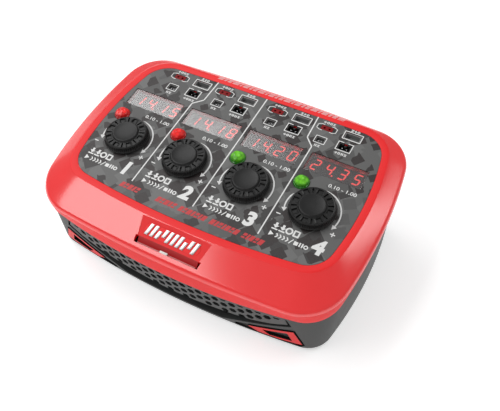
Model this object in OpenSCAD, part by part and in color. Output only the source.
// Four-channel balance charger for small model batteries.
// Millimetres, +Z up, origin under the middle of the body on the surface it stands on.
// +X is to the right, and -Y is the front with the grille.
// The deck frame lies in the sloping control panel: x right, y up the slope, z out of it.

/* [Body] */
// Half of the greatest width, at the crease of the cover
half_w = 73.1; // [72:0.1:76]
// Slope of the control panel, rising to the back, in degrees
tilt = 8; // [6:0.5:9]
// Height of the panel surface at the middle of the body
deck_h = 44.2; // [43:0.1:50]
// Wall thickness of the cover
cover_wall = 2.2; // [1.8:0.1:2.4]
// Wall thickness of the lower case
case_wall = 2.4; // [2:0.1:2.8]
// How far the rubber feet stand out of the case
foot_out = 0.8; // [0.5:0.1:1.5]

/* [Panel] */
// Half of the panel's greatest width
panel_half_w = 61.9; // [61:0.1:62.5]
// Height of the lip above the panel
lip_h = 0.2; // [0.1:0.1:1]
// Width of the lip
lip_w = 2.8; // [2.2:0.1:3]
// Thickness of the printed film
film_t = 0.5; // [0.3:0.1:0.8]
// Thickness of the cover's deck under the film
deck_t = 2.5; // [2:0.1:2.8]

/* [Channels] */
// Number of charging channels
channels = 4; // [4:1:4]
// Distance from one channel to the next
pitch = 30; // [29.5:0.1:30.2]
// Knob radius at its base
knob_r = 9.9; // [8.5:0.1:10.5]
// Knob height
knob_h = 4.4; // [3.8:0.1:6]
// Gap under the knob at rest
knob_gap = 0.65; // [0.6:0.05:1]
// Push travel of the knob
push = 0.5; // [0.3:0.05:0.55]
// Radius of the lamp dome
led_r = 3.5; // [2.5:0.1:3.6]
// Width of the display window
window_w = 25.9; // [22:0.1:26.2]
// Height of the display window
window_d = 9.9; // [8:0.1:10.5]

/* [Grille] */
// Distance between six-sided holes in one row
mesh_pitch = 7.5; // [7.2:0.1:9]
// Distance between rows
mesh_rise = 2.45; // [2.4:0.05:2.6]
// Radius of a hole at its corners
mesh_hole = 1.75; // [1.2:0.05:1.85]

/* [Hidden] */

eps = 0.02;
round_fn = 48;
cut = 30;

// Outlines are four bowed edges joined by corner arcs:
// [half width, y of the widest point, side radius, front y, front radius, front corner radius,
//  back y, back radius, back corner radius]
film_line = [panel_half_w, 3.1, 140, -32.3, 380, 11.5, 41.8, 2400, 12.5];
crease_line = [half_w, -1.9, 208, -49.3, 680, 21, 48.4, 1017, 18];
rim_line = [half_w - 1.1, -1.9, 207, -50.4, 320, 16, 47.4, 1016, 17];
floor_line = [half_w - 3.5, 0, 205, -43.5, 416, 11, 44.2, 900, 14];

// The crease and the lower rim of the cover lie in planes that lean a little in the deck frame:
// [height at the middle, rise per millimetre of y]
crease_plane = [-3.35, 0.03];
rim_plane = [-9.95, 0.08];
rim_gap = 0.3;
case_inset = 0.6;

// Levels in the deck frame
deck_under = -film_t - deck_t;
board_top = -10.5;
board_t = 1.6;

// Levels over the ground
case_z = foot_out;
floor_top = case_z + 2.2;
edge_round = 2.6;
power_z = 5.8;

// Places in one channel, from the channel's own middle line
knob_x = -0.45;
knob_y = -4.65;
led_x = -10.65;
led_y = 6.3;
window_y = 17.9;
// Sockets stand in pairs of rows about these group centres
socket_groups = [-37.7, -13.6, 13.6, 37.7];
micro_at = [-6, 37.2];
slot_at = [6, 37.3];
pins_at = [-6, 30.1];
notch_at = [4.95, 30.7];
micro_size = [5.4, 2.5];
slot_size = [7.4, 3.6];
pins_size = [4.2, 3.1];
notch_size = [5.8, 3.8];
socket_clear = 0.15;

shaft_r = 3;
bush_r = 3.45;
encoder_w = 11.7;
encoder_top = -4.3;
shaft_foot = -8.5;

standoffs = [[-30, -8], [0, -8], [30, -8], [-25.5, 29], [0, 29], [25.5, 29]];
posts = [[-57, -31], [57, -31], [-57, 33], [57, 33]];
post_foot = 9;
pillars = [[-46, -28], [46, -28], [-46, 22], [46, 22]];
feet = [[-48, -32], [48, -32], [-48, 33], [48, 33]];
foot_r = 5;

// Scoop in the front bevel: y and z of its ramp in the deck frame
scoop_w = 28.6;
scoop_top = [-35.9, -0.35];
scoop_deep = [-43.4, -3.5];
slot_front = -46.3;
// Wall that hangs down behind the slot: its thickness and the level of its foot
slot_wall = 1.2;
slot_wall_foot = -7.4;
emblem_size = [20.4, 5.2];

// Front opening of the case and the meshed plate in it, right half, as [x, z] over the ground
grille_half = [[24, 3.6], [31, 6.8], [40, 10.6], [47.5, 13.9], [55, 17.7], [53, 22.4]];
plate_half = [[5, 8.8], [28, 10.8], [38, 12.3], [46.5, 15], [53.4, 18.6], [52.2, 22.25]];
plate_under = 0.15;
mesh_top_row = 22;
mesh_rows = 6;
mesh_limit = 21.6;
// Recess under each lower corner of the mesh, and the trim ring that lies in it
pocket_half = [[30, 2.6], [30, 4.6], [35, 7], [56.2, 15.2], [60.4, 4.4], [58.6, 2.6]];
accent_half = [[36, 6.6], [55.9, 14.6], [59.6, 5.3], [50, 4.2], [40.6, 4.2]];
accent_hole = [[42.6, 7.6], [53.3, 11.8], [55.3, 6.2], [45.5, 4.9]];
accent_out = 0.5;
accent_deep = 1.4;

inlet_at = [-34, 18];
inlet_size = [21, 14];
inlet_depth = 19;
inlet_face = 46.2;
jack_at = [32, 16];
jack_size = [9.4, 11];
jack_depth = 14;

red = [0.85, 0.14, 0.14];
dark = [0.24, 0.25, 0.24];
black = [0.09, 0.09, 0.1];
green = [0.1, 0.4, 0.2];
metal = [0.75, 0.75, 0.77];
pale = [0.85, 0.86, 0.86];

// ---- outlines -------------------------------------------------------------------------------

function unit(a) = [cos(a), sin(a)];
function heading(from, to) = atan2(to[1] - from[1], to[0] - from[0]);
function arc(c, r, a0, a1, n) = [for (i = [0:n - 1]) c + r * unit(a0 + (a1 - a0) * i / n)];

// Centre of the corner arc that touches two larger arcs from inside
function corner(c0, r0, c1, r1, r, side) =
    let (d = c1 - c0, l = norm(d), a = r0 - r, b = r1 - r)
    let (x = (a * a - b * b + l * l) / (2 * l))
    c0 + x * d / l + side * sqrt(a * a - x * x) * [-d[1], d[0]] / l;

function right_half(o) =
    let (front = [0, o[3] + o[4]], back = [0, o[6] - o[7]], side = [o[0] - o[2], o[1]])
    let (cf = corner(front, o[4], side, o[2], o[5], 1), cb = corner(back, o[7], side, o[2], o[8], -1))
    let (a1 = heading(front, cf), a2 = heading(side, cf), a3 = heading(side, cb), a4 = heading(back, cb))
    concat(arc(front, o[4], -90, a1, 8), arc(cf, o[5], a1, a2, 9), arc(side, o[2], a2, a3, 10),
           arc(cb, o[8], a3, a4, 9), arc(back, o[7], a4, 90, 6));

function outline(o) =
    let (r = right_half(o))
    concat(r, [[0, o[6]]], [for (i = [len(r) - 1:-1:1]) [-r[i][0], r[i][1]]]);

function inset(o, d) =
    [o[0] - d, o[1], o[2] - d, o[3] + d, o[4] - d, o[5] - d, o[6] - d, o[7] - d, o[8] - d];

// Points drawn in towards their own middle
function middle(p) = [for (k = [0, 1]) [for (q = p) q[k]] * [for (q = p) 1] / len(p)];
function shrunk(p, k) = [for (q = p) middle(p) + k * (q - middle(p))];

function mirrored(p) = concat(p, [for (i = [len(p) - 1:-1:0]) [-p[i][0], p[i][1]]]);

// ---- frames and shared shapes ---------------------------------------------------------------

module deck_frame() {
    translate([0, 0, deck_h]) rotate([tilt, 0, 0]) children();
}

module leaning(plane) {
    translate([0, 0, plane[0]]) rotate([atan(plane[1]), 0, 0]) children();
}

module slab(o, t = eps) {
    linear_extrude(t) polygon(outline(o));
}

module channel(i) {
    translate([(i - (channels + 1) / 2) * pitch, 0, 0]) children();
}

module group(i) {
    translate([socket_groups[i - 1], 0, 0]) children();
}

module block(size, z0, z1) {
    translate([-size[0] / 2, -size[1] / 2, z0]) cube([size[0], size[1], z1 - z0]);
}

// Extrudes a shape drawn in X and Z straight through the front wall
module through_front() {
    rotate([90, 0, 0]) linear_extrude(70) children();
}

// A box that opens the back wall, centred at [x, z]
module through_back(at, size) {
    translate([at[0] - size[0] / 2, cut, at[1] - size[1] / 2]) cube([size[0], cut, size[1]]);
}

// Outer form of the cover, drawn in by d
module cover_form(d, top_z, drop = 0) {
    hull() {
        leaning(rim_plane) translate([0, 0, -drop]) slab(inset(rim_line, d));
        leaning(crease_plane) slab(inset(crease_line, d));
        translate([0, 0, top_z - eps]) slab(inset(film_line, d - lip_w));
    }
}

// Outer form of the lower case, drawn in by d
module case_form(d, low_z, rise = 0) {
    hull() {
        deck_frame() leaning(rim_plane) translate([0, 0, rise - rim_gap - eps])
            slab(inset(rim_line, case_inset + d));
        translate([0, 0, low_z + edge_round]) slab(inset(floor_line, d));
        translate([0, 0, low_z]) slab(inset(floor_line, d + edge_round * 0.8));
    }
}

// Skin of the case between two depths under its surface
module case_skin(d0, d1) {
    difference() {
        case_form(d0, case_z - 1, 1);
        case_form(d1, case_z - 2, 2);
    }
}

module openings(clear) {
    for (i = [1:channels]) {
        channel(i) {
            translate([knob_x, knob_y, -cut / 2]) cylinder(h = cut, r = bush_r + 0.25, $fn = round_fn);
            translate([led_x, led_y, -cut / 2]) cylinder(h = cut, r = led_r + 0.15, $fn = round_fn);
        }
        group(i) {
            translate(micro_at) block(micro_size + [clear, clear], -cut / 2, cut / 2);
            translate(slot_at) block(slot_size + [clear, clear], -cut / 2, cut / 2);
            translate(pins_at) block(pins_size + [clear, clear], -cut / 2, cut / 2);
            translate(notch_at) block(notch_size + [clear, clear], -cut / 2, cut / 2);
        }
    }
}

module windows() {
    for (i = [1:channels]) {
        channel(i) translate([knob_x, window_y, 0]) block([window_w, window_d], -cut / 2, cut / 2);
    }
}

// ---- cover ----------------------------------------------------------------------------------

module scoop() {
    rotate([90, 0, 90]) translate([0, 0, -scoop_w / 2]) linear_extrude(scoop_w)
        polygon([scoop_top, scoop_deep, [scoop_deep[0], -8], [slot_front, -8], [slot_front, 2],
                 [scoop_top[0], 2]]);
}

module slot_back() {
    translate([-scoop_w / 2, scoop_deep[0] - eps, slot_wall_foot])
        cube([scoop_w, slot_wall, scoop_deep[1] - slot_wall_foot - 0.05]);
}

// Posts under the deck that take the case screws
module cover_posts() {
    difference() {
        intersection() {
            for (p = posts) translate([p[0], p[1], post_foot]) cylinder(h = 2 * cut, r = 3.4, $fn = round_fn);
            deck_frame() cover_form(cover_wall / 2, deck_under + 1, cut);
        }
        for (p = posts) translate([p[0], p[1], post_foot - 1]) cylinder(h = 13, r = 1.25, $fn = round_fn);
    }
}

module top_cover() {
    color(red) {
        deck_frame() {
            difference() {
                union() {
                    cover_form(0, -0.1);
                    translate([0, 0, -1]) linear_extrude(1 + lip_h)
                        polygon(outline(inset(film_line, -lip_w)));
                }
                cover_form(cover_wall, deck_under, 1.5);
                translate([0, 0, -film_t]) linear_extrude(film_t + 2) polygon(outline(film_line));
                openings(2 * socket_clear);
                windows();
                scoop();
            }
            slot_back();
            for (s = standoffs) {
                translate([s[0], s[1], board_top]) difference() {
                    cylinder(h = deck_under - board_top + 1.2, r = 2.4, $fn = round_fn);
                    translate([0, 0, -1]) cylinder(h = 6, r = 0.9, $fn = 24);
                }
            }
        }
        cover_posts();
    }
}

module panel_overlay() {
    color([0.35, 0.34, 0.34]) deck_frame() difference() {
        translate([0, 0, -film_t]) linear_extrude(film_t) polygon(outline(inset(film_line, 0.1)));
        openings(2 * socket_clear);
        windows();
    }
}

// Thin plate with rounded ends that lies on the ramp of the scoop
module emblem() {
    slope = heading(scoop_deep, scoop_top);
    middle = (scoop_top + scoop_deep) / 2;
    color(pale) deck_frame() translate([0, middle[0], middle[1]]) rotate([slope, 0, 0]) {
        linear_extrude(0.4) {
            square(emblem_size, center = true);
            for (s = [-1, 1]) translate([s * emblem_size[0] / 2, 0]) circle(r = emblem_size[1] / 2, $fn = 32);
        }
    }
}

// ---- lower case -----------------------------------------------------------------------------

// Ring that locates the cover on the case; it stops short of the grille
module tongue() {
    deck_frame() leaning(rim_plane) translate([0, 0, -4]) linear_extrude(6) difference() {
        polygon(outline(inset(rim_line, 2.8)));
        polygon(outline(inset(rim_line, 4)));
        translate([-57, -60]) square([114, 22]);
    }
}

module side_vents() {
    for (s = [-1, 1]) {
        for (i = [0:5]) {
            translate([s * 70 - 8, i * 6, 28.2 + i * 1.3]) cube([16, 4.4, 5]);
        }
    }
}

module back_vents() {
    for (i = [-3:3]) {
        translate([i * 7 - 2.2, cut, 30]) cube([4.4, cut, 7]);
    }
}

module screw_boss(at) {
    translate([at[0], at[1], case_z + 0.5]) cylinder(h = post_foot - case_z - 0.6, r = 3.8, $fn = round_fn);
}

module board_pillar(at) {
    translate([at[0], at[1], floor_top - 0.5]) cylinder(h = power_z - floor_top + 0.5, r = 3, $fn = round_fn);
}

module lower_case() {
    color(dark) difference() {
        union() {
            difference() {
                case_form(0, case_z);
                case_form(case_wall, floor_top, 1);
            }
            tongue();
            for (p = posts) screw_boss(p);
            for (p = pillars) board_pillar(p);
        }
        through_front() polygon(mirrored(grille_half));
        intersection() {
            case_skin(-1, accent_deep + 0.1);
            through_front() for (s = [0, 1]) mirror([s, 0]) polygon(pocket_half);
        }
        side_vents();
        back_vents();
        through_back(inlet_at, inlet_size + [0.2, 0.2]);
        through_back(jack_at, jack_size + [0.2, 0.2]);
        for (p = posts) {
            translate([p[0], p[1], case_z - 1]) cylinder(h = 12, r = 1.7, $fn = round_fn);
            translate([p[0], p[1], case_z - 1]) cylinder(h = 4, r = 3, $fn = round_fn);
        }
        for (p = pillars) translate([p[0], p[1], floor_top - 0.6]) cylinder(h = 8, r = 0.9, $fn = 24);
        for (p = feet) translate([p[0], p[1], case_z - 1])
            cylinder(h = 1.8, r = foot_r + 0.1, $fn = round_fn);
    }
}

// One row of holes, as long as the plate is wide at its height; every other row is shifted
module mesh_row(z, shift) {
    reach = lookup(z, [for (p = plate_half) [p[1], p[0]]]) - 2.6;
    for (k = [-8:8]) {
        x = (k + shift) * mesh_pitch;
        if (abs(x) < reach) translate([x, z]) circle(r = mesh_hole, $fn = 6);
    }
}

// All rows, cut off straight under the top edge of the plate
module mesh_holes() {
    intersection() {
        for (r = [0:mesh_rows - 1]) mesh_row(mesh_top_row - r * mesh_rise, (r + 1) % 2 / 2);
        translate([-60, 0]) square([120, mesh_limit]);
    }
}

// Meshed plate that fills the opening almost flush, on a flange inside the wall
module front_grille() {
    back = [for (p = mirrored(grille_half)) [p[0] * 1.03, p[1] > 12 ? p[1] + 0.4 : p[1] - 0.9]];
    color(black) difference() {
        union() {
            intersection() {
                difference() {
                    case_form(case_wall + 0.1, floor_top + 0.1, 1);
                    case_form(case_wall + 1.5, case_z - 2, 2);
                }
                through_front() polygon(back);
            }
            intersection() {
                case_skin(plate_under, case_wall + 0.8);
                through_front() polygon(mirrored(plate_half));
            }
        }
        through_front() mesh_holes();
    }
}

module accent(s) {
    color(red) mirror([s, 0, 0]) intersection() {
        case_skin(-accent_out, accent_deep);
        through_front() difference() {
            polygon(shrunk(accent_half, 0.992));
            polygon(accent_hole);
        }
    }
}

module accent_left() {
    accent(1);
}

module accent_right() {
    accent(0);
}

module foot(i) {
    color(black) translate([feet[i - 1][0], feet[i - 1][1], 0])
        rotate_extrude($fn = round_fn) polygon([[0, 0], [foot_r - 0.4, 0], [foot_r, 0.5],
                                                [foot_r, case_z + 0.8], [0, case_z + 0.8]]);
}

// ---- fasteners ------------------------------------------------------------------------------

// Self-tapping screw with a recessed pan head; its head points down
module screw(head_r, head_h, r, length) {
    difference() {
        union() {
            cylinder(h = head_h, r = head_r, $fn = 32);
            cylinder(h = head_h + length, r = r, $fn = 24);
        }
        for (a = [0, 90]) rotate(a) translate([-head_r * 0.6, -0.35, -1]) cube([head_r * 1.2, 0.7, 1.8]);
    }
}

module case_screws() {
    color(metal) for (p = posts) translate([p[0], p[1], case_z + 0.9]) screw(2.8, 2.1, 1.2, 15);
}

module board_screws() {
    color(metal) deck_frame() for (s = standoffs) {
        translate([s[0], s[1], board_top - board_t - 1.3]) screw(1.9, 1.3, 0.85, 5.5);
    }
    color(metal) for (p = pillars) {
        translate([p[0], p[1], power_z + board_t + 1.3]) rotate([180, 0, 0]) screw(1.9, 1.3, 0.85, 4);
    }
}

// ---- electronics ----------------------------------------------------------------------------

module control_board() {
    color(green) deck_frame() difference() {
        translate([0, 0, board_top - board_t]) linear_extrude(board_t)
            polygon(mirrored([[59.5, -14], [59.5, 26], [50, 28], [50, 41]]));
        for (s = standoffs) translate([s[0], s[1], board_top - 5]) cylinder(h = 10, r = 1.1, $fn = 24);
    }
}

module power_board() {
    color(green) difference() {
        translate([0, 0, power_z]) linear_extrude(board_t) polygon(mirrored([[51, -33], [51, 27]]));
        for (p = pillars) translate([p[0], p[1], power_z - 1]) cylinder(h = 5, r = 1.1, $fn = 24);
    }
}

module transformer() {
    base = power_z + board_t;
    color([0.2, 0.2, 0.22]) translate([-4, 6, base]) difference() {
        block([28, 12], 1.5, 19);
        for (s = [-1, 1]) translate([s * 8, 0, 0]) block([6, 14], 5.5, 15);
    }
    color([0.85, 0.65, 0.2]) translate([-4, 6, base]) difference() {
        block([21.6, 20], 5.6, 14.9);
        block([10.2, 12.2], 5, 16);
    }
    color(black) translate([-4, 6, base]) block([24, 20], 0, 1.4);
}

module bulk_capacitor() {
    r = 8;
    color([0.1, 0.1, 0.3]) translate([-36, 4, power_z + board_t + r]) rotate([90, 0, 0])
        rotate_extrude($fn = round_fn)
            polygon([[0, 0], [r - 0.6, 0], [r, 0.8], [r, 3], [r - 0.5, 3.6], [r, 4.2],
                     [r, 26], [r - 1, 26.5], [r - 1.4, 26], [0, 26]]);
}

module heat_sink() {
    color(metal) translate([30, -8, power_z + board_t]) {
        block([34, 26], 0, 3);
        for (i = [-4:4]) translate([i * 4, 0, 0]) block([1.2, 26], 3, 14);
    }
}

// Two-pole appliance inlet; its figure-of-eight socket opens to the back
module ac_inlet() {
    color(black) translate([inlet_at[0], inlet_face, inlet_at[1]]) rotate([90, 0, 0]) difference() {
        block(inlet_size, 0, inlet_depth);
        translate([0, 0, -1]) {
            for (s = [-1, 1]) translate([s * 3.6, 0, 0]) cylinder(h = 15, r = 4.4, $fn = round_fn);
            block([7.2, 8.2], 0, 15);
        }
    }
    color(metal) for (s = [-1, 1]) translate([inlet_at[0] + s * 4.3, inlet_face - 2, inlet_at[1]])
        rotate([90, 0, 0]) cylinder(h = inlet_depth + 2, r = 1.2, $fn = 24);
}

module dc_jack() {
    color(black) translate([jack_at[0], inlet_face, jack_at[1]]) rotate([90, 0, 0]) difference() {
        block(jack_size, 0, jack_depth);
        translate([0, 0, -1]) cylinder(h = 11, r = 2.8, $fn = round_fn);
    }
    color(metal) translate([jack_at[0], inlet_face - 0.8, jack_at[1]]) rotate([90, 0, 0])
        cylinder(h = 11, r = 1.05, $fn = 24);
}

// ---- channel parts --------------------------------------------------------------------------

module at_knob(i) {
    deck_frame() channel(i) translate([knob_x, knob_y, 0]) children();
}

module knob(i) {
    top = knob_gap + knob_h;
    ring = top - 1.35;
    teeth = 16;
    color(black) at_knob(i) difference() {
        rotate_extrude($fn = 96) polygon([
            [0, knob_gap], [knob_r - 0.3, knob_gap], [knob_r, knob_gap + 0.3], [knob_r - 0.2, knob_gap + 1],
            [knob_r - 0.9, ring - 0.3], [knob_r - 1.2, ring], [knob_r - 4, ring - 0.25],
            [knob_r - 4.2, top - 0.3], [knob_r - 4.5, top], [knob_r - 5.4, top - 0.25], [0, top - 0.35]]);
        translate([0, 0, -1]) cylinder(h = knob_gap + 1 + 2.6, r = shaft_r + 0.02, $fn = round_fn);
        for (a = [0:360 / teeth:359]) rotate(a) {
            translate([knob_r - 3.6, -0.3, ring - 0.7]) cube([5, 0.6, 2]);
        }
    }
}

module encoder_shaft(i) {
    color(metal) at_knob(i) difference() {
        translate([0, 0, shaft_foot]) cylinder(h = knob_gap + 2.5 - shaft_foot, r = shaft_r, $fn = round_fn);
        translate([1.6, -4, 0.8]) cube([4, 8, 4]);
    }
}

// Plunger of the push switch under the shaft
module encoder_plunger(i) {
    color("white") at_knob(i) translate([0, 0, shaft_foot - 0.05 - 1.15])
        cylinder(h = 1.15, r = 2.4, $fn = round_fn);
}

module encoder_body(i) {
    color(metal) at_knob(i) difference() {
        union() {
            block([encoder_w, encoder_w], board_top, encoder_top);
            translate([0, 0, encoder_top - 1])
                cylinder(h = 1 - encoder_top - 0.4, r = bush_r, $fn = round_fn);
        }
        translate([0, 0, shaft_foot - 1]) cylinder(h = cut, r = shaft_r + 0.06, $fn = round_fn);
        translate([0, 0, board_top + 0.2]) cylinder(h = 3, r = 2.5, $fn = round_fn);
    }
}

module led(i) {
    rise = 2.7;
    shade = i < 3 ? [0.9, 0.15, 0.15] : [0.35, 0.75, 0.15];
    color(shade) deck_frame() channel(i) translate([led_x, led_y, 0]) {
        rotate_extrude($fn = round_fn) polygon(concat(
            [[0, -6], [led_r, -6]],
            [for (a = [0:10:80]) [led_r * cos(a), 0.4 + (rise - 0.4) * sin(a)]], [[0, rise]]));
        for (s = [-1, 1]) translate([s * 1.27, 0, board_top]) cylinder(h = 4.6, r = 0.3, $fn = 16);
    }
}

// Display module and the tinted window on it, which fills the opening almost flush
module display(i) {
    color(black) deck_frame() channel(i) translate([knob_x, window_y, 0]) {
        block([pitch - 2.4, window_d + 3.8], board_top, deck_under - 0.2);
        block([window_w - 0.3, window_d - 0.3], deck_under - 1, -0.1);
    }
}

// Housing that stands on the board and ends just under the panel surface
module socket_case(size, top, cavity, depth) {
    difference() {
        block(size, board_top, top);
        block(cavity, top - depth, top + 1);
    }
}

module pins(count, step, top) {
    for (k = [0:count - 1]) {
        translate([(k - (count - 1) / 2) * step, 0, 0]) block([0.6, 0.6], board_top, top);
    }
}

module micro_socket(i) {
    color([0.6, 0.05, 0.05]) deck_frame() group(i) translate(micro_at) difference() {
        block(micro_size, board_top, -0.1);
        for (s = [-1, 1]) translate([s * 1.2, 0, 0]) block([0.9, 0.9], -5, 1);
    }
}

// Wide shallow socket with two deep slits for blades
module slot_socket(i) {
    color(black) deck_frame() group(i) translate(slot_at) difference() {
        socket_case(slot_size, -0.3, slot_size - [0.9, 0.9], 2.6);
        for (s = [-1, 1]) translate([s * 1.9, 0.1, 0]) block([0.9, 1.9], -8, 1);
    }
}

module pin_header(i) {
    color(black) deck_frame() group(i) translate(pins_at) {
        socket_case(pins_size, -0.3, pins_size - [0.8, 0.8], 5);
        pins(2, 1.25, -2.6);
    }
}

module notch_header(i) {
    color(black) deck_frame() group(i) translate(notch_at) {
        difference() {
            socket_case(notch_size, -0.3, notch_size - [0.9, 0.9], 5);
            translate([0, notch_size[1] / 2, 0]) block([1.6, 1.6], -4, 1);
        }
        pins(2, 2, -1.4);
    }
}

// ---- nodes ----------------------------------------------------------------------------------

top_cover();
panel_overlay();
emblem();
lower_case();
front_grille();
accent_left();
accent_right();
control_board();
power_board();
transformer();
bulk_capacitor();
heat_sink();
ac_inlet();
dc_jack();
case_screws();
board_screws();
for (i = [1:4]) {
    foot(i);
    knob(i);
    encoder_shaft(i);
    encoder_plunger(i);
    encoder_body(i);
    led(i);
    display(i);
    micro_socket(i);
    slot_socket(i);
    pin_header(i);
    notch_header(i);
}
